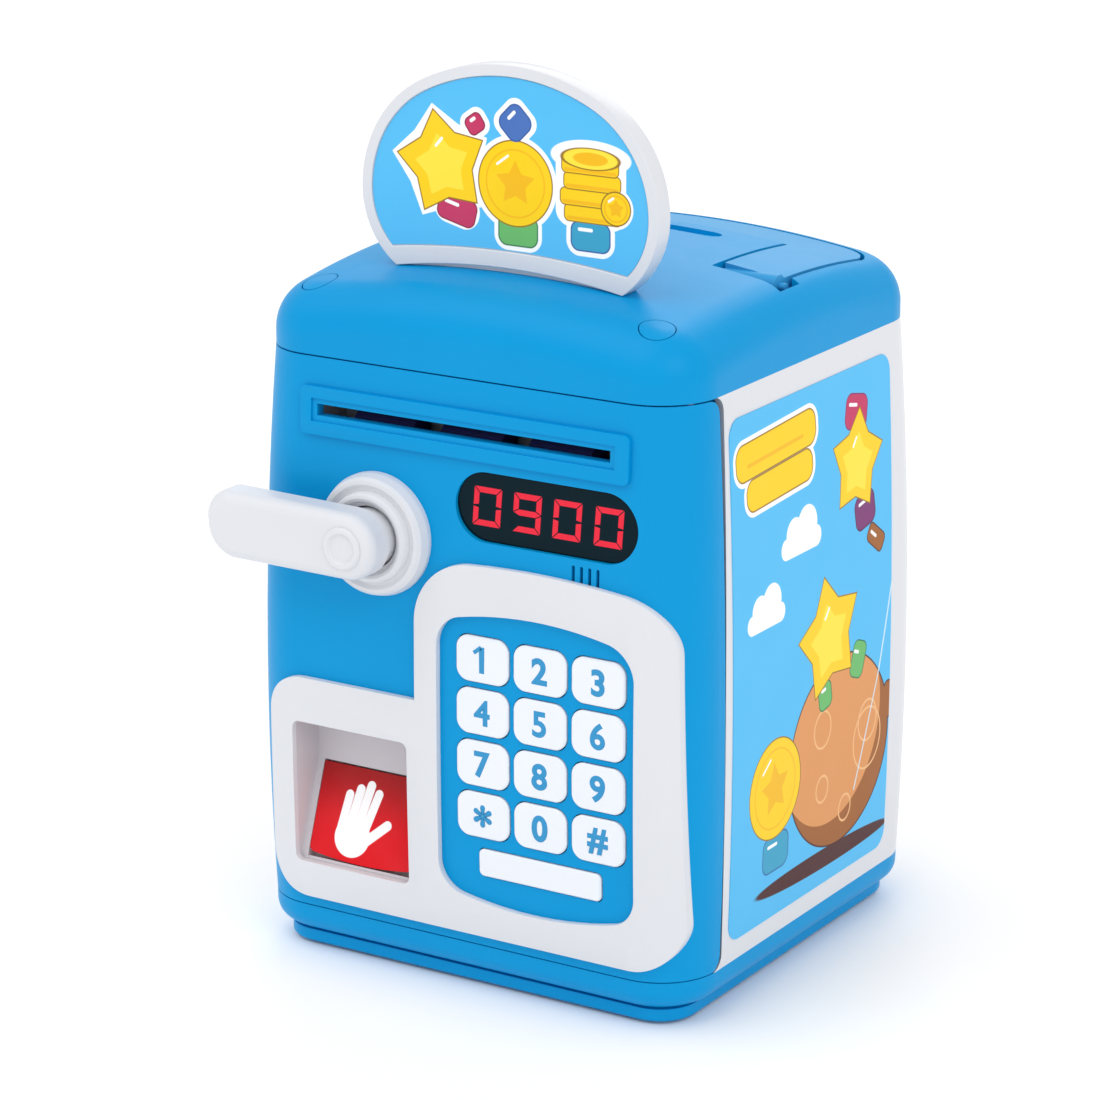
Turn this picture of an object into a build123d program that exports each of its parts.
"""Toy cash-machine savings bank: housing, swinging door, lever lock, keypad, scan pad, note feed, carry handle.

Millimetres.  +X is right, the door faces -Y, +Z is up.  The origin is on the table, under the
centre of the housing.
"""

import math
import os

from build123d import *

os.makedirs("parts", exist_ok=True)

# ---- driving dimensions -------------------------------------------------------------------------
SEAM_LOW = 13.0          # top of the base, bottom of door and walls
SEAM_HIGH = 161.6        # bottom of the top cover
HALF_W_LOW = 65.49       # half width of the walls at the low seam
HALF_W_HIGH = 63.5       # half width of the walls at the high seam
HALF_D_LOW = 63.62       # half depth at the low seam
HALF_D_HIGH = 62.33      # half depth at the high seam
BULGE = 1.8              # how far each wall swells out half way up
CORNER_R = 16.0          # upright corners
WALL = 2.4               # moulded wall thickness
DOOR_BACK_Y = -45.6      # rear edge of the door tray
DOOR_LOW = 13.3
DOOR_HIGH = 161.2
DOOR_ROUND = 4.0         # rounding of the door's rear corners, seen from the side
SEAM_GAP = 0.4           # gap round the door
HINGE_X = 59.5           # upright hinge axis
HINGE_Y = -53.0
HINGE_PIN_R = 1.5
HINGE_SEAT_R = 10.3      # hollow that lets the door's edge turn
FRAME_Y = -42.4          # front face of the fixed inner frame
CROWN_R = 330.0          # very flat dome of the top cover
CROWN_TOP = 186.0
SHOULDER_R = 13.0
LEVER_X = -24.0          # lever axis
LEVER_Z = 118.4
PINION_R = 4.0           # pitch radius of the lock pinion
RACK_PITCH = math.pi
SLOT_Z = 147.95          # banknote slot
KEY_PITCH_X = 16.95
KEY_PITCH_Z = 13.8
KEY_X = 7.6              # centre of the left key column
KEY_TOP_Z = 90.4         # centre of the top key row
ROLLER_Y = -54.5         # banknote rollers
DRIVE_Z = 143.3
DRIVE_R = 4.2
IDLER_Z = 151.3
IDLER_R = 3.0
GEAR_MODULE = 0.6
PINION_TEETH = 8
GEAR_TEETH = 20
MOTOR_Z = DRIVE_Z - GEAR_MODULE * (PINION_TEETH + GEAR_TEETH) / 2 - 0.2
HANDLE_Y = -0.5          # carry handle pivot
HANDLE_Z = 179.2
PAD_LOW = (-63.6, 26.8)  # y, z of the scan pad's lower and upper edges
PAD_HIGH = (-55.0, 51.0)


def write(sub_part, name):
    """Label a finished sub-part and write its STEP file."""
    sub_part.part.label = name
    export_step(sub_part.part, f"parts/{name}.step")


def half_width(z, low, high):
    """Half size of the barrel-shaped walls at a height."""
    t = (z - SEAM_LOW) / (SEAM_HIGH - SEAM_LOW)
    return low + (high - low) * t + BULGE * 4 * t * (1 - t)


def barrel(swell):
    """The slightly barrel-shaped body, swollen or shrunk, reaching 1 mm past both seams."""
    z_low = SEAM_LOW - 1
    z_high = SEAM_HIGH + 1
    z_mid = (z_low + z_high) / 2
    with BuildPart() as form:
        for plane, low, high in ((Plane.XZ, HALF_W_LOW, HALF_W_HIGH), (Plane.YZ, HALF_D_LOW, HALF_D_HIGH)):
            at_low = half_width(z_low, low, high) + swell
            at_mid = half_width(z_mid, low, high) + swell
            at_high = half_width(z_high, low, high) + swell
            mode = Mode.ADD if plane == Plane.XZ else Mode.INTERSECT
            with BuildSketch(plane):
                with BuildLine():
                    ThreePointArc((at_low, z_low), (at_mid, z_mid), (at_high, z_high))
                    Line((at_high, z_high), (-at_high, z_high))
                    ThreePointArc((-at_high, z_high), (-at_mid, z_mid), (-at_low, z_low))
                    Line((-at_low, z_low), (at_low, z_low))
                make_face()
            extrude(amount=80, both=True, mode=mode)
        uprights = form.edges().filter_by(lambda edge: edge.bounding_box().size.Z > 0.9 * (z_high - z_low))
        fillet(uprights, CORNER_R + swell)
    return form.part


def dome(drop, z_low=SEAM_HIGH):
    """The rounded top as a solid, its skin lowered and drawn in by drop."""
    with BuildPart() as form:
        with BuildSketch(Plane.XY.offset(z_low)):
            RectangleRounded(2 * (HALF_W_HIGH - drop), 2 * (HALF_D_HIGH - drop), CORNER_R - drop)
        extrude(amount=40)
        with Locations((0, 0, CROWN_TOP - CROWN_R - drop)):
            Sphere(CROWN_R, mode=Mode.INTERSECT)
        rim = form.edges().filter_by(lambda edge: edge.bounding_box().min.Z > z_low + 8)
        fillet(rim, SHOULDER_R - drop)
    return form.part


def door_side(grow):
    """A block that covers the door seen from the side, with its rounded rear corners."""
    with BuildPart() as form:
        with BuildSketch(Plane.YZ) as side:
            with Locations((-70, (DOOR_LOW + DOOR_HIGH) / 2)):
                Rectangle(2 * (70 + DOOR_BACK_Y + grow), DOOR_HIGH - DOOR_LOW + 2 * grow)
            fillet(side.vertices().group_by(Axis.X)[-1], DOOR_ROUND + grow)
        extrude(amount=80, both=True)
    return form.part


def block(x, y, z):
    """A plain box between two corners, given as (low, high) pairs."""
    with BuildPart() as form:
        with Locations(((x[0] + x[1]) / 2, (y[0] + y[1]) / 2, (z[0] + z[1]) / 2)):
            Box(x[1] - x[0], y[1] - y[0], z[1] - z[0])
    return form.part


def shell(swell_out, swell_in):
    """The skin between two sizes of the barrel form, from seam to seam."""
    with BuildPart() as form:
        add(barrel(swell_out))
        add(block((-80, 80), (-80, 80), (SEAM_LOW, SEAM_HIGH)), mode=Mode.INTERSECT)
        add(barrel(swell_in), mode=Mode.SUBTRACT)
    return form.part


def facing(y):
    """A sketch plane facing the front at a depth, with sketch x = X and sketch y = Z."""
    return Plane(origin=(0, y, 0), x_dir=(1, 0, 0), z_dir=(0, -1, 0))


def pad_plane(offset):
    """The sloping plane of the scan pad: sketch x = X, sketch y = up the slope from its lower edge."""
    run = PAD_HIGH[0] - PAD_LOW[0]
    rise = PAD_HIGH[1] - PAD_LOW[1]
    length = math.hypot(run, rise)
    normal = (0, -rise / length, run / length)
    origin = (0, PAD_LOW[0] + normal[1] * offset, PAD_LOW[1] + normal[2] * offset)
    return Plane(origin=origin, x_dir=(1, 0, 0), z_dir=normal)


WHOLE_BODY = barrel(0)
BODY_HOLLOW = barrel(-WALL)

# ---- base: curved tray, stepped plinth, feet ------------------------------------------------------
with BuildPart() as base_tray:
    with BuildSketch(Plane.XY.offset(5.0)):
        RectangleRounded(2 * HALF_W_LOW, 2 * HALF_D_LOW, CORNER_R)
    extrude(amount=SEAM_LOW - 5.0)
    fillet(base_tray.faces().sort_by(Axis.Z)[0].edges(), 5.5)
    with BuildSketch(Plane.XY.offset(7.4)):
        RectangleRounded(2 * (HALF_W_LOW - 7), 2 * (HALF_D_LOW - 7), CORNER_R - 7)
    extrude(amount=20, mode=Mode.SUBTRACT)
    with BuildSketch():
        Rectangle(54.6, 66.6)
    extrude(amount=20, mode=Mode.SUBTRACT)
    with Locations((HINGE_X, HINGE_Y, SEAM_LOW)):
        Hole(HINGE_PIN_R + 0.05, depth=4)
write(base_tray, "base_tray")

with BuildPart() as base_plinth:
    with BuildSketch(Plane.XY.offset(0.8)):
        RectangleRounded(121.6, 119.2, 10.5)
    extrude(amount=3.6)
    fillet(base_plinth.faces().sort_by(Axis.Z)[0].edges(), 1.2)
    with BuildSketch(Plane.XY.offset(4.4)):
        RectangleRounded(118.6, 116.2, 9)
    extrude(amount=0.6)
    with BuildSketch(Plane.XY.offset(2.6)):
        RectangleRounded(114, 112, 8)
    extrude(amount=5, mode=Mode.SUBTRACT)
    with BuildSketch(Plane.XY.offset(0.8)):
        Rectangle(54.6, 66.6)
    extrude(amount=5, mode=Mode.SUBTRACT)
    with BuildSketch(Plane.XY.offset(0.8)):
        with GridLocations(98, 94, 2, 2):
            Circle(5.6)
    extrude(amount=0.9, mode=Mode.SUBTRACT)
    with BuildSketch(Plane.XY.offset(0.8)):
        with GridLocations(82, 94, 2, 2):
            Circle(3.0)
    extrude(amount=5, mode=Mode.SUBTRACT)
write(base_plinth, "base_plinth")

with BuildPart() as rubber_feet:
    with BuildSketch():
        with GridLocations(98, 94, 2, 2):
            Circle(5.4)
    extrude(amount=1.7)
    fillet(rubber_feet.faces().group_by(Axis.Z)[0].edges(), 0.4)
write(rubber_feet, "rubber_feet")

# ---- battery bay under the floor -------------------------------------------------------------------
with BuildPart() as battery_box:
    with BuildSketch(Plane.XY.offset(3.0)):
        Rectangle(54, 66)
    extrude(amount=17.8)
    with BuildSketch(Plane.XY.offset(3.0)):
        Rectangle(51, 62)
    extrude(amount=16.3, mode=Mode.SUBTRACT)
write(battery_box, "battery_box")

with BuildPart() as aa_cells:
    for column in (-16.0, 0.0, 16.0):
        with Locations(Plane(origin=(column, 0, 11.4), z_dir=(0, 1, 0))):
            Cylinder(7.2, 49.0)
            with Locations((0, 0, 25.2)):
                Cylinder(2.7, 1.4)
write(aa_cells, "aa_cells")

with BuildPart() as battery_cover:
    with BuildSketch(Plane.XY.offset(0.8)):
        RectangleRounded(54.0, 66.0, 1.8)
    extrude(amount=2.0)
    with BuildSketch(Plane.XY.offset(0.8)):
        with Locations(*[(0, 8 + 2.4 * rib) for rib in range(6)]):
            Rectangle(16, 1.0)
    extrude(amount=0.6, mode=Mode.SUBTRACT)
    with Locations((0, -29.5, 0.8)):
        Cylinder(2.6, 2.4, mode=Mode.SUBTRACT)
        with Locations((0, 0, 1.6)):
            Cylinder(1.3, 2.4, mode=Mode.SUBTRACT)
    with Locations((0, 0, 0.6)):
        Cylinder(5.5, 1.2)
write(battery_cover, "battery_cover")

# ---- money floor and inner frame --------------------------------------------------------------------
with BuildPart() as money_floor:
    add(barrel(-WALL - 0.2))
    add(block((-80, 80), (-40.0, 80), (21.5, 23.5)), mode=Mode.INTERSECT)
write(money_floor, "money_floor")

with BuildPart() as front_frame:
    add(barrel(-WALL - 0.1))
    add(block((-80, 80), (FRAME_Y, FRAME_Y + 2.2), (SEAM_LOW, SEAM_HIGH)), mode=Mode.INTERSECT)
    with BuildSketch(facing(0)):
        with Locations((0, 89)):
            RectangleRounded(104, 126, 6)
    extrude(amount=80, mode=Mode.SUBTRACT)
write(front_frame, "front_frame")

# ---- side walls, which wrap round to the back, and the back panel -------------------------------------
with BuildPart() as hinge_seat:
    with Locations((HINGE_X, HINGE_Y, (SEAM_LOW + SEAM_HIGH) / 2)):
        Cylinder(HINGE_SEAT_R, SEAM_HIGH - SEAM_LOW + 0.4)
    fillet(hinge_seat.edges().filter_by(GeomType.CIRCLE), DOOR_ROUND)

DOOR_CLEARANCE = door_side(SEAM_GAP)
WALL_SKIN = shell(0, -WALL)
with BuildPart() as side_panel_right:
    add(WALL_SKIN)
    add(block((0, 80), (-80, 80), (0, 200)), mode=Mode.INTERSECT)
    add(block((0, 46), (-80, 80), (0, 200)), mode=Mode.SUBTRACT)
    add(DOOR_CLEARANCE, mode=Mode.SUBTRACT)
    add(hinge_seat.part, mode=Mode.SUBTRACT)
write(side_panel_right, "side_panel_right")

with BuildPart() as side_panel_left:
    add(WALL_SKIN)
    add(block((-80, -46), (-80, 80), (0, 200)), mode=Mode.INTERSECT)
    add(DOOR_CLEARANCE, mode=Mode.SUBTRACT)
write(side_panel_left, "side_panel_left")

with BuildPart() as back_panel:
    add(WALL_SKIN)
    add(block((-45.7, 45.7), (0, 80), (0, 200)), mode=Mode.INTERSECT)
    for x in (-38, 38):
        for z in (30, 148):
            with Locations(Plane(origin=(x, 57, z), z_dir=(0, 1, 0))):
                Cylinder(4.2, 9.0)
                with Locations((0, 0, 5.0)):
                    Cylinder(3.0, 9.0, mode=Mode.SUBTRACT)
    add(block((-9, 9), (55, 80), (34, 42)), mode=Mode.SUBTRACT)
write(back_panel, "back_panel")

with BuildPart() as housing_screws:
    for x in (-38, 38):
        for z in (30, 148):
            with Locations(Plane(origin=(x, 60.0, z), z_dir=(0, 1, 0))):
                Cylinder(2.7, 1.8)
    with Locations(*[(x, y, 3.4) for x in (-41, 41) for y in (-47, 47)]):
        Cylinder(2.7, 1.6)
    with Locations((0, -29.5, 1.5)):
        Cylinder(2.4, 0.8)
write(housing_screws, "housing_screws")

# ---- power switch in the back panel --------------------------------------------------------------------
with BuildPart() as switch_body:
    add(block((-8.6, 8.6), (60.4, 62.4), (34.4, 41.6)))
    add(block((-12, 12), (52.0, 60.4), (33.0, 43.0)))
    add(block((-4.4, 4.4), (58.0, 80), (36.0, 40.0)), mode=Mode.SUBTRACT)
write(switch_body, "switch_body")

with BuildPart() as switch_knob:
    add(block((-4.1, -0.7), (58.4, 64.2), (36.3, 39.7)))
    fillet(switch_knob.faces().sort_by(Axis.Y)[-1].edges(), 0.5)
write(switch_knob, "switch_knob")

# ---- top cover with coin slot, handle wells and sign slot ------------------------------------------------
with BuildPart() as handle_form:
    with BuildSketch(Plane.XY.offset(150)) as handle_plan:
        with Locations((0, 41.2)):
            Rectangle(110, 17.6)
        with Locations((-47.2, 17.0), (47.2, 17.0)):
            Rectangle(15.6, 43.6)
        fillet(handle_plan.vertices().group_by(Axis.Y)[-1], 9)
        fillet(handle_plan.vertices().group_by(Axis.Y)[0], 1.2)
    extrude(amount=60)

with BuildPart() as handle_well:
    with BuildSketch(Plane.XY.offset(150)) as well_plan:
        with Locations((0, 41.2)):
            Rectangle(112.4, 18.8)
        with Locations((-47.4, 17.0), (47.4, 17.0)):
            Rectangle(17.6, 46.0)
        with Locations((-57.0, -1.0), (57.0, -1.0)):
            Rectangle(2.6, 10.0)
        fillet(well_plan.vertices().group_by(Axis.Y)[-1], 9.6)
    extrude(amount=60)

DOME = dome(0)
DOME_HOLLOW = dome(WALL, SEAM_HIGH - 1)
DOME_WELL_FLOOR = dome(7.0, SEAM_HIGH - 1)
DOME_WELL_UNDER = dome(8.8, SEAM_HIGH - 1)

with BuildPart() as well_lining:
    add(handle_well.part)
    with BuildSketch(Plane.XY.offset(150)):
        with Locations((0, 41.2)):
            RectangleRounded(116.4, 22.8, 9)
        with Locations((-47.8, 16.0), (47.8, 16.0)):
            Rectangle(22.4, 48.0)
    extrude(amount=60)
    add(DOME, mode=Mode.INTERSECT)
    add(DOME_WELL_UNDER, mode=Mode.SUBTRACT)

with BuildPart() as top_cover:
    add(DOME)
    add(DOME_HOLLOW, mode=Mode.SUBTRACT)
    add(well_lining.part)
    with BuildPart(mode=Mode.SUBTRACT):
        add(handle_well.part)
        add(DOME_WELL_FLOOR, mode=Mode.SUBTRACT)
        add(block((-80, 80), (-80, 80), (100, 166)), mode=Mode.SUBTRACT)
    with Locations((HINGE_X - 1.5, HINGE_Y + 1.5, SEAM_HIGH + 3)):
        Box(9, 9, 6)
    add(DOME, mode=Mode.INTERSECT)
    with Locations((HINGE_X, HINGE_Y, SEAM_HIGH + 1)):
        Cylinder(HINGE_PIN_R + 0.05, 5, mode=Mode.SUBTRACT)
    with BuildSketch(Plane.XY.offset(170)):
        with Locations((0, 22.6)):
            SlotOverall(27, 3.2)
    extrude(amount=40, mode=Mode.SUBTRACT)
    with BuildSketch(Plane.XY.offset(183.4)):
        with Locations((0, 22.6)):
            SlotOverall(50, 6.4)
    extrude(amount=40, mode=Mode.SUBTRACT)
    with BuildSketch(Plane.XY.offset(150)):
        with Locations((-49.5, -51.5), (49.5, -51.5)):
            Circle(4.7)
    extrude(amount=60, mode=Mode.SUBTRACT)
    with BuildSketch(Plane.XY.offset(170)):
        with Locations((0, -38)):
            Rectangle(60, 3.2)
    extrude(amount=60, mode=Mode.SUBTRACT)
    for side in (-1, 1):
        with Locations(Plane(origin=(side * 47.2, HANDLE_Y, HANDLE_Z), z_dir=(1, 0, 0))):
            Cylinder(1.05, 21.6, mode=Mode.SUBTRACT)
            Cylinder(3.2, 16.4, mode=Mode.SUBTRACT)
write(top_cover, "top_cover")

with BuildPart() as screw_plugs:
    with BuildSketch(Plane.XY.offset(150)):
        with Locations((-49.5, -51.5), (49.5, -51.5)):
            Circle(4.4)
    extrude(amount=60)
    add(DOME, mode=Mode.INTERSECT)
    add(DOME_HOLLOW, mode=Mode.SUBTRACT)
write(screw_plugs, "screw_plugs")

with BuildPart() as coin_chute:
    with BuildSketch(Plane.XY.offset(164)):
        with Locations((0, 22.6)):
            Rectangle(31, 7)
    extrude(amount=17.4)
    with BuildSketch(Plane.XY.offset(164)):
        with Locations((0, 22.6)):
            Rectangle(28, 4.2)
    extrude(amount=20, mode=Mode.SUBTRACT)
    add(DOME_HOLLOW, mode=Mode.INTERSECT)
write(coin_chute, "coin_chute")

# ---- carry handle, folded flat into its wells --------------------------------------------------------------
with BuildPart() as carry_handle:
    add(handle_form.part)
    add(dome(0.2), mode=Mode.INTERSECT)
    add(dome(6.2), mode=Mode.SUBTRACT)
    add(block((-80, 80), (-80, HANDLE_Y), (100, 200)), mode=Mode.SUBTRACT)
    add(block((-80, 80), (-80, 80), (100, 168)), mode=Mode.SUBTRACT)
    for side in (-1, 1):
        with Locations(Plane(origin=(side * 47.2, HANDLE_Y, HANDLE_Z), z_dir=(1, 0, 0))):
            Cylinder(2.9, 15.6)
            Cylinder(1.0, 19.6)
write(carry_handle, "carry_handle")

# ---- sign on the top -------------------------------------------------------------------------------------------
def on_circle(centre, radius, angle):
    """Point at an angle on a circle."""
    return centre[0] + radius * math.cos(math.radians(angle)), centre[1] + radius * math.sin(math.radians(angle))


def sign_outline(inset, foot_angle, rise):
    """D-shaped outline of the sign, drawn in by inset, its lower edge arched up by rise."""
    crown_centre = (0, 178.4)
    shoulder_centre = on_circle(crown_centre, 25.5, 116.4)
    foot_centre = (shoulder_centre[0] - 8.7, shoulder_centre[1])
    crown = [on_circle(crown_centre, 57.6 - inset, angle) for angle in (116.4, 90, 63.6)]
    with BuildSketch() as outline:
        with BuildLine():
            ThreePointArc(*crown)
            for side in (-1, 1):
                shoulder = [on_circle(shoulder_centre, 32.1 - inset, angle) for angle in (180, 148, 116.4)]
                foot = [on_circle(foot_centre, 23.4 - inset, 180 + angle) for angle in (0, foot_angle / 2, foot_angle)]
                ThreePointArc(*[(-side * x, z) for x, z in shoulder])
                ThreePointArc(*[(-side * x, z) for x, z in foot])
            ThreePointArc(foot[-1], (0, foot[-1][1] + rise), (-foot[-1][0], foot[-1][1]))
        make_face()
    return outline.sketch_local


with BuildPart() as marquee_frame:
    with BuildSketch(facing(-35.0)):
        add(sign_outline(0, 55.6, 3.0))
    extrude(amount=6.0)
    with BuildSketch(facing(-40.3)):
        add(sign_outline(2.9, 45, 2.4))
    extrude(amount=2.0, mode=Mode.SUBTRACT)
    with BuildSketch(Plane.XY.offset(176)):
        with Locations((0, -38)):
            Rectangle(59.4, 2.8)
    extrude(amount=10)
    with BuildPart(mode=Mode.SUBTRACT):
        add(DOME)
        add(block((-29.7, 29.7), (-39.4, -36.6), (0, 200)), mode=Mode.SUBTRACT)
write(marquee_frame, "marquee_frame")

with BuildPart() as marquee_label:
    with BuildSketch(facing(-40.3)):
        add(sign_outline(3.1, 44.4, 2.4))
    extrude(amount=0.3)
write(marquee_label, "marquee_label")

# ---- side stickers -----------------------------------------------------------------------------------------------
STICKER_SKIN = shell(0.25, 0)
for sticker_name, reach in (("side_label_left", -80), ("side_label_right", 80)):
    with BuildPart() as side_label:
        with BuildSketch(Plane.YZ):
            with Locations((0.6, 86.55)):
                RectangleRounded(84.8, 136.1, 5)
        extrude(amount=reach)
        add(STICKER_SKIN, mode=Mode.INTERSECT)
    write(side_label, sticker_name)

# ---- door tray ------------------------------------------------------------------------------------------------------
KEY_CENTRES = [(KEY_X + KEY_PITCH_X * column, KEY_TOP_Z - KEY_PITCH_Z * row) for row in range(4) for column in range(3)]
DOOR_SIDE = door_side(0)
with BuildPart() as door_shell:
    add(WHOLE_BODY)
    add(DOOR_SIDE, mode=Mode.INTERSECT)
    with BuildPart(mode=Mode.SUBTRACT):
        add(BODY_HOLLOW)
        add(block((-80, 80), (-80, 0), (DOOR_LOW + WALL, DOOR_HIGH - WALL)), mode=Mode.INTERSECT)
    with BuildSketch(facing(-50)):
        with Locations((0.6, SLOT_Z)):
            Rectangle(86.4, 3.2)
        with Locations((25.4, 129.8)):
            SlotOverall(52.6, 18.0)
        with Locations(*[(33.6 + 2.35 * slit, 115.6) for slit in range(4)]):
            SlotOverall(7, 0.9, rotation=90)
        with Locations((LEVER_X, LEVER_Z)):
            Circle(14.0)
        with Locations((-32.3, 45.5)):
            RectangleRounded(38.8, 41.4, 3)
        with Locations(*KEY_CENTRES):
            RectangleRounded(16.0, 12.6, 3.8)
        with Locations((24.2, 36.35)):
            RectangleRounded(36.6, 7.9, 1.8)
    extrude(amount=40, mode=Mode.SUBTRACT)
    for z in (DOOR_LOW, DOOR_HIGH):
        with Locations((HINGE_X, HINGE_Y, z)):
            Cylinder(HINGE_PIN_R, 10, mode=Mode.SUBTRACT)
    with Locations(Plane(origin=(-49.7, ROLLER_Y, DRIVE_Z), z_dir=(1, 0, 0))):
        Cylinder(6.9, 3.2, mode=Mode.SUBTRACT)
write(door_shell, "door_shell")

with BuildPart() as hinge_pins:
    with Locations((HINGE_X, HINGE_Y, SEAM_LOW), (HINGE_X, HINGE_Y, SEAM_HIGH - 0.6)):
        Cylinder(HINGE_PIN_R, 7)
write(hinge_pins, "hinge_pins")

with BuildPart() as door_back:
    add(barrel(-WALL - 0.2))
    add(block((-80, 80), (-47.6, -45.8), (17.5, 157.0)), mode=Mode.INTERSECT)
    for x in (-42.5, -9.5):
        add(block((x - 1.5, x + 1.5), (-45.8, -35.8), (121.6, 129.8)))
        add(block((x - 2, x + 2), (-39.9, -36.9), (123.0, 128.6)), mode=Mode.SUBTRACT)
    add(block((-47, -45), (-60.0, -47.6), (128, 156)))
    add(block((45, 47), (-60.0, -47.6), (139.4, 156)))
    add(block((-43.5, 43.5), (-50, -45), (145.0, 151.0)), mode=Mode.SUBTRACT)
    with Locations(Plane(origin=(LEVER_X, -46, LEVER_Z), z_dir=(0, 1, 0))):
        Cylinder(3.06, 10, mode=Mode.SUBTRACT)
    for z in (DRIVE_Z, IDLER_Z):
        with Locations(Plane(origin=(0, ROLLER_Y, z), z_dir=(1, 0, 0))):
            Cylinder(1.05, 100, mode=Mode.SUBTRACT)
    with Locations(Plane(origin=(-46, ROLLER_Y, MOTOR_Z), z_dir=(1, 0, 0))):
        Cylinder(1.6, 4, mode=Mode.SUBTRACT)
write(door_back, "door_back")

with BuildPart() as door_screws:
    for x, z in ((-58, 30), (-58, 145), (56, 28), (56, 147), (0, 20.5)):
        with Locations(Plane(origin=(x, -45.3, z), z_dir=(0, 1, 0))):
            Cylinder(2.6, 1.0)
write(door_screws, "door_screws")

# ---- banknote slot surround --------------------------------------------------------------------------------------------
with BuildPart() as slot_bezel:
    with BuildSketch(facing(-50)):
        with Locations((0.95, 147.7)):
            RectangleRounded(96.5, 12.4, 1.6)
        with Locations((0.6, SLOT_Z)):
            Rectangle(86.2, 3.0, mode=Mode.SUBTRACT)
    extrude(amount=40)
    add(shell(1.2, 0), mode=Mode.INTERSECT)
    with BuildPart(mode=Mode.SUBTRACT):
        with BuildSketch(facing(-50)):
            with Locations((0.6, SLOT_Z)):
                Rectangle(89.2, 6.0)
        extrude(amount=40)
        add(barrel(0.6), mode=Mode.SUBTRACT)
write(slot_bezel, "slot_bezel")

# ---- display -----------------------------------------------------------------------------------------------------------------
with BuildPart() as display_window:
    with BuildSketch(facing(-61.0)):
        with Locations((25.4, 129.8)):
            SlotOverall(52.3, 17.7)
    extrude(amount=1.9)
    with BuildSketch(facing(-60.1)):
        with Locations((25.4, 129.8)):
            SlotOverall(55.3, 20.7)
    extrude(amount=0.6)
write(display_window, "display_window")

with BuildPart() as display_module:
    add(block((-2, 53), (-60.0, -55.5), (120.5, 138.4)))
    add(block((-4, 55), (-55.5, -54.3), (119.5, 138.6)))
write(display_module, "display_module")

with BuildPart() as speaker:
    with Locations(Plane(origin=(37.1, 0, 110.4), x_dir=(1, 0, 0), z_dir=(0, -1, 0))):
        with Locations((0, 0, 58.2)):
            Cylinder(8.6, 3.0)
        with Locations((0, 0, 55.2)):
            Cylinder(5.4, 3.0)
write(speaker, "speaker")

# ---- white surround of keypad and scan pocket ----------------------------------------------------------------------------------
def rounded(plan, corners):
    """Rounds corners of a sketch, each given as x, z and radius."""
    for x, z, radius in corners:
        fillet(plan.vertices().sort_by_distance((x, z, 0))[0], radius)


with BuildSketch() as bezel_plan:
    with BuildLine():
        Line((-12, 76.8), (-12, 113.2))
        ThreePointArc((-12, 113.2), (25, 115.4), (62, 112))
        Line((62, 112), (64.2, 16.4))
        Line((64.2, 16.4), (-58, 16.4))
        Line((-58, 16.4), (-57.7, 76.8))
        Line((-57.7, 76.8), (-12, 76.8))
    make_face()
    rounded(bezel_plan, [(-12, 113.2, 17), (62, 112, 15), (64.2, 16.4, 12.5), (-58, 16.4, 11.8), (-57.7, 76.8, 10.8)])

with BuildSketch() as keypad_window:
    with BuildLine():
        Line((-5.4, 28.6), (-5.3, 99.4))
        ThreePointArc((-5.3, 99.4), (23.5, 103.4), (52.3, 99.4))
        Line((52.3, 99.4), (52.3, 29.4))
        ThreePointArc((52.3, 29.4), (23.4, 24.9), (-5.4, 28.6))
    make_face()
    rounded(keypad_window, [(-5.3, 99.4, 8.5), (52.3, 99.4, 9.5), (52.3, 29.4, 8), (-5.4, 28.6, 8.5)])

with BuildPart() as bezel:
    with BuildSketch(facing(-40)):
        add(bezel_plan.sketch_local)
        add(keypad_window.sketch_local, mode=Mode.SUBTRACT)
        with Locations((-32.3, 45.4)):
            RectangleRounded(35.4, 38.6, 2.0, mode=Mode.SUBTRACT)
    extrude(amount=40)
    add(shell(1.8, 0), mode=Mode.INTERSECT)
write(bezel, "bezel")

# ---- hand-scan pocket and pad ------------------------------------------------------------------------------------------------
with BuildPart() as scan_pocket:
    with BuildSketch(facing(-50.0)):
        with Locations((-32.3, 45.5)):
            RectangleRounded(38.4, 41.0, 3)
    extrude(amount=20)
    add(barrel(-0.05), mode=Mode.INTERSECT)
    with BuildPart(mode=Mode.SUBTRACT):
        with BuildSketch(Plane.YZ.offset(-50.0)):
            with BuildLine():
                Polyline((-80, 26.2), (-63.5, 26.2), (-54.7, 51.2), (-54.7, 64.7), (-80, 64.7), close=True)
            make_face()
        extrude(amount=35.4)
    with BuildSketch(pad_plane(1.0)):
        with Locations((-31.8, 12.9)):
            Rectangle(32.5, 25.6)
    extrude(amount=-4.5, mode=Mode.SUBTRACT)
write(scan_pocket, "scan_pocket")

with BuildPart() as scan_pad:
    with BuildSketch(pad_plane(-2.0)) as pad_outline:
        with BuildLine():
            ThreePointArc((-47.7, 1.6), (-31.8, 0.4), (-15.9, 1.6))
            Line((-15.9, 1.6), (-15.9, 25.3))
            Line((-15.9, 25.3), (-47.7, 25.3))
            Line((-47.7, 25.3), (-47.7, 1.6))
        make_face()
        fillet(pad_outline.vertices().group_by(Axis.Y)[0], 1.6)
    extrude(amount=2.0)
write(scan_pad, "scan_pad")

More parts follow.
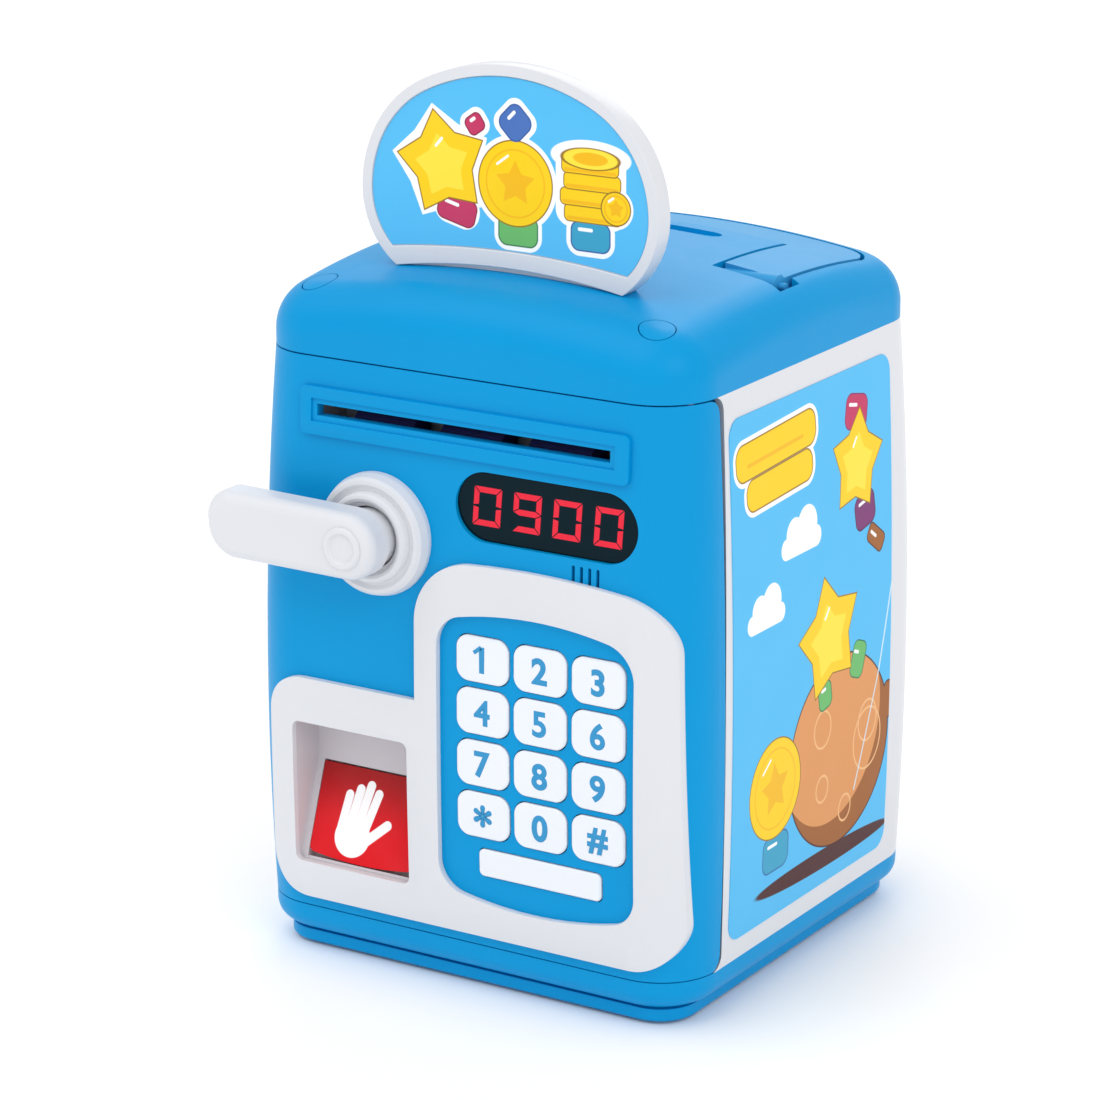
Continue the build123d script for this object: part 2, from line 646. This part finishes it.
# ---- keys ----------------------------------------------------------------------------------------------------------------------
KEY_FRONT = barrel(0.7)
KEY_NAMES = ["1", "2", "3", "4", "5", "6", "7", "8", "9", "star", "0", "hash"]
for key_name, key_centre in zip(KEY_NAMES, KEY_CENTRES):
    with BuildPart() as key:
        with BuildSketch(facing(-61.0)):
            with Locations(key_centre):
                RectangleRounded(15.4, 12.0, 3.5)
        extrude(amount=10)
        add(KEY_FRONT, mode=Mode.INTERSECT)
        with BuildSketch(facing(-60.4)):
            with Locations(key_centre):
                RectangleRounded(16.5, 13.3, 3.8)
        extrude(amount=0.7)
        chamfer(key.faces().sort_by(Axis.Y)[0].edges(), 0.35)
    write(key, f"key_{key_name}")

with BuildPart() as key_bar:
    with BuildSketch(facing(-61.0)):
        with Locations((24.2, 36.35)):
            RectangleRounded(36.0, 7.3, 1.5)
    extrude(amount=10)
    add(KEY_FRONT, mode=Mode.INTERSECT)
    with BuildSketch(facing(-60.4)):
        with Locations((24.2, 36.35)):
            RectangleRounded(38.0, 9.4, 1.8)
    extrude(amount=0.7)
    chamfer(key_bar.faces().sort_by(Axis.Y)[0].edges(), 0.35)
write(key_bar, "key_bar")

with BuildPart() as keypad_mat:
    add(block((-3, 53), (-59.3, -58.1), (29, 99)))
write(keypad_mat, "keypad_mat")

with BuildPart() as keypad_board:
    add(block((-6, 55), (-58.1, -56.5), (27, 101)))
    with Locations((10, -55.6, 60), (38, -55.4, 80)):
        Box(12, 2.2, 12)
write(keypad_board, "keypad_board")

# ---- lever, its rosette and shaft -----------------------------------------------------------------------------------------------
def tooth_points(centre, turn, points):
    """Corner points of a tooth, turned by an angle about a wheel's centre."""
    cos = math.cos(math.radians(turn))
    sin = math.sin(math.radians(turn))
    return [(centre[0] + cos * x - sin * y, centre[1] + sin * x + cos * y) for x, y in points]


def turned(profile):
    """Solid of revolution round the lever axis from (radius, depth) points."""
    with BuildPart() as form:
        with BuildSketch(Plane(origin=(LEVER_X, 0, LEVER_Z), x_dir=(1, 0, 0), z_dir=(0, 0, 1))):
            with BuildLine():
                Polyline(*profile, close=True)
            make_face()
        revolve(axis=Axis((LEVER_X, 0, LEVER_Z), (0, 1, 0)))
    return form.part


with BuildPart() as rosette:
    add(turned([(8.1, -61.0), (13.8, -61.0), (13.8, -62.8), (16.0, -62.8), (16.0, -65.4), (15.3, -67.6),
                (14.5, -68.5), (13.6, -68.6), (12.6, -67.9), (11.9, -67.8), (11.6, -69.4), (11.1, -70.1),
                (10.4, -70.3), (9.7, -70.0), (8.9, -68.8), (8.1, -68.2)]))
    with BuildPart(mode=Mode.SUBTRACT):
        add(turned([(13.85, -50), (30, -50), (30, -70), (13.85, -70)]))
        add(WHOLE_BODY, mode=Mode.INTERSECT)
write(rosette, "rosette")

with BuildPart() as lever_arm:
    with BuildSketch(facing(-72.4)) as arm_outline:
        with BuildLine():
            ThreePointArc((LEVER_X, LEVER_Z - 8.8), (LEVER_X + 8.8, LEVER_Z), (LEVER_X, LEVER_Z + 8.8))
            Line((LEVER_X, LEVER_Z + 8.8), (-60.5, 127.8))
            ThreePointArc((-60.5, 127.8), (-65.4, 124.6), (-66.6, 119.0))
            ThreePointArc((-66.6, 119.0), (-63.9, 112.4), (-56.5, 109.9))
            Line((-56.5, 109.9), (LEVER_X, LEVER_Z - 8.8))
        make_face()
    extrude(amount=7.9)
    fillet(lever_arm.faces().sort_by(Axis.Y)[0].edges(), 3.2)
    with BuildPart(mode=Mode.ADD):
        add(turned([(3.0, -62.0), (7.6, -62.0), (7.6, -73.0), (3.0, -73.0)]))
    add(turned([(0, -60), (3.0, -60), (3.0, -76.0), (0, -76.0)]), mode=Mode.SUBTRACT)
    add(turned([(0, -79.4), (5.5, -79.4), (5.5, -90), (0, -90)]), mode=Mode.SUBTRACT)
write(lever_arm, "lever_arm")

with BuildPart() as lever_cap:
    add(turned([(0, -79.4), (5.5, -79.4), (5.5, -80.7), (5.0, -81.1), (4.1, -81.1), (3.5, -80.5), (0, -80.5)]))
write(lever_cap, "lever_cap")

with BuildPart() as lever_shaft:
    add(turned([(0, -76.0), (3.0, -76.0), (3.0, -40.4), (2.9, -40.4), (2.9, -36.9), (0, -36.9)]))
    with BuildSketch(facing(-37.1)):
        for tooth in range(8):
            corners = [(-0.85, 2.6), (-0.35, 4.7), (0.35, 4.7), (0.85, 2.6)]
            with BuildLine():
                Polyline(*tooth_points((LEVER_X, LEVER_Z), 45 * tooth, corners), close=True)
            make_face()
    extrude(amount=2.6)
write(lever_shaft, "lever_shaft")

with BuildPart() as latch_bolt:
    with BuildSketch(facing(-37.3)):
        with BuildLine():
            Polyline((-50.5, 123.6), (-50.5, 126.6), (-48.8, 128.3), (-5.0, 128.3), (-5.0, 123.3), (-50.2, 123.3), close=True)
        make_face()
        with BuildLine():
            Polyline((-34.2, 123.5), (-34.2, 123.3), (-13.8, 123.3), (-13.8, 123.5), close=True)
        make_face()
        for tooth in range(6):
            x = LEVER_X + RACK_PITCH * (tooth - 2.5)
            with BuildLine():
                Polyline((x - 0.7, 123.4), (x - 0.3, 121.6), (x + 0.3, 121.6), (x + 0.7, 123.4), close=True)
            make_face()
    extrude(amount=2.3)
write(latch_bolt, "latch_bolt")


# ---- banknote feed: motor, pinion, driven roller and idler ------------------------------------------------------------------------
def spur(teeth, origin_z, phase):
    """Spur gear sketch in the (Y, Z) plane with slim teeth, centred on the roller depth."""
    pitch_r = GEAR_MODULE * teeth / 2
    with BuildSketch(Plane.YZ) as wheel:
        with Locations((ROLLER_Y, origin_z)):
            Circle(pitch_r - 0.75)
        for tooth in range(teeth):
            turn = phase + 360 / teeth * tooth
            corners = [(-0.42, pitch_r - 1.0), (-0.18, pitch_r + 0.5), (0.18, pitch_r + 0.5), (0.42, pitch_r - 1.0)]
            with BuildLine():
                Polyline(*tooth_points((ROLLER_Y, origin_z), turn, corners), close=True)
            make_face()
    return wheel.sketch_local


with BuildPart() as feed_motor:
    with Locations(Plane(origin=(-35, ROLLER_Y, MOTOR_Z), z_dir=(1, 0, 0))):
        Cylinder(4.2, 19.6)
        with Locations((0, 0, -10.4)):
            Cylinder(1.5, 1.6)
        with Locations((0, 0, -8)):
            Cylinder(0.8, 10, mode=Mode.SUBTRACT)
    add(block((-60, 0), (ROLLER_Y - 3.4, ROLLER_Y + 3.4), (100, 160)), mode=Mode.INTERSECT)
write(feed_motor, "feed_motor")

with BuildPart() as motor_pinion:
    with BuildSketch(Plane.YZ.offset(-51.0)):
        add(spur(PINION_TEETH, MOTOR_Z, 0))
    extrude(amount=2.4)
    with Locations(Plane(origin=(-44.5, ROLLER_Y, MOTOR_Z), z_dir=(1, 0, 0))):
        Cylinder(0.75, 13)
write(motor_pinion, "motor_pinion")

with BuildPart() as feed_roller:
    with BuildSketch(Plane.YZ.offset(-50.8)):
        add(spur(GEAR_TEETH, DRIVE_Z, 180 / GEAR_TEETH))
    extrude(amount=2.2)
    with Locations(Plane(origin=(-1.5, ROLLER_Y, DRIVE_Z), z_dir=(1, 0, 0))):
        Cylinder(1.0, 99)
    for x in (-26, 0, 26):
        with Locations(Plane(origin=(x, ROLLER_Y, DRIVE_Z), z_dir=(1, 0, 0))):
            Cylinder(DRIVE_R, 18)
write(feed_roller, "feed_roller")

with BuildPart() as idler_roller:
    with Locations(Plane(origin=(0, ROLLER_Y, IDLER_Z), z_dir=(1, 0, 0))):
        Cylinder(1.0, 95)
    for x in (-26, 0, 26):
        with Locations(Plane(origin=(x, ROLLER_Y, IDLER_Z), z_dir=(1, 0, 0))):
            Cylinder(IDLER_R, 18)
write(idler_roller, "idler_roller")
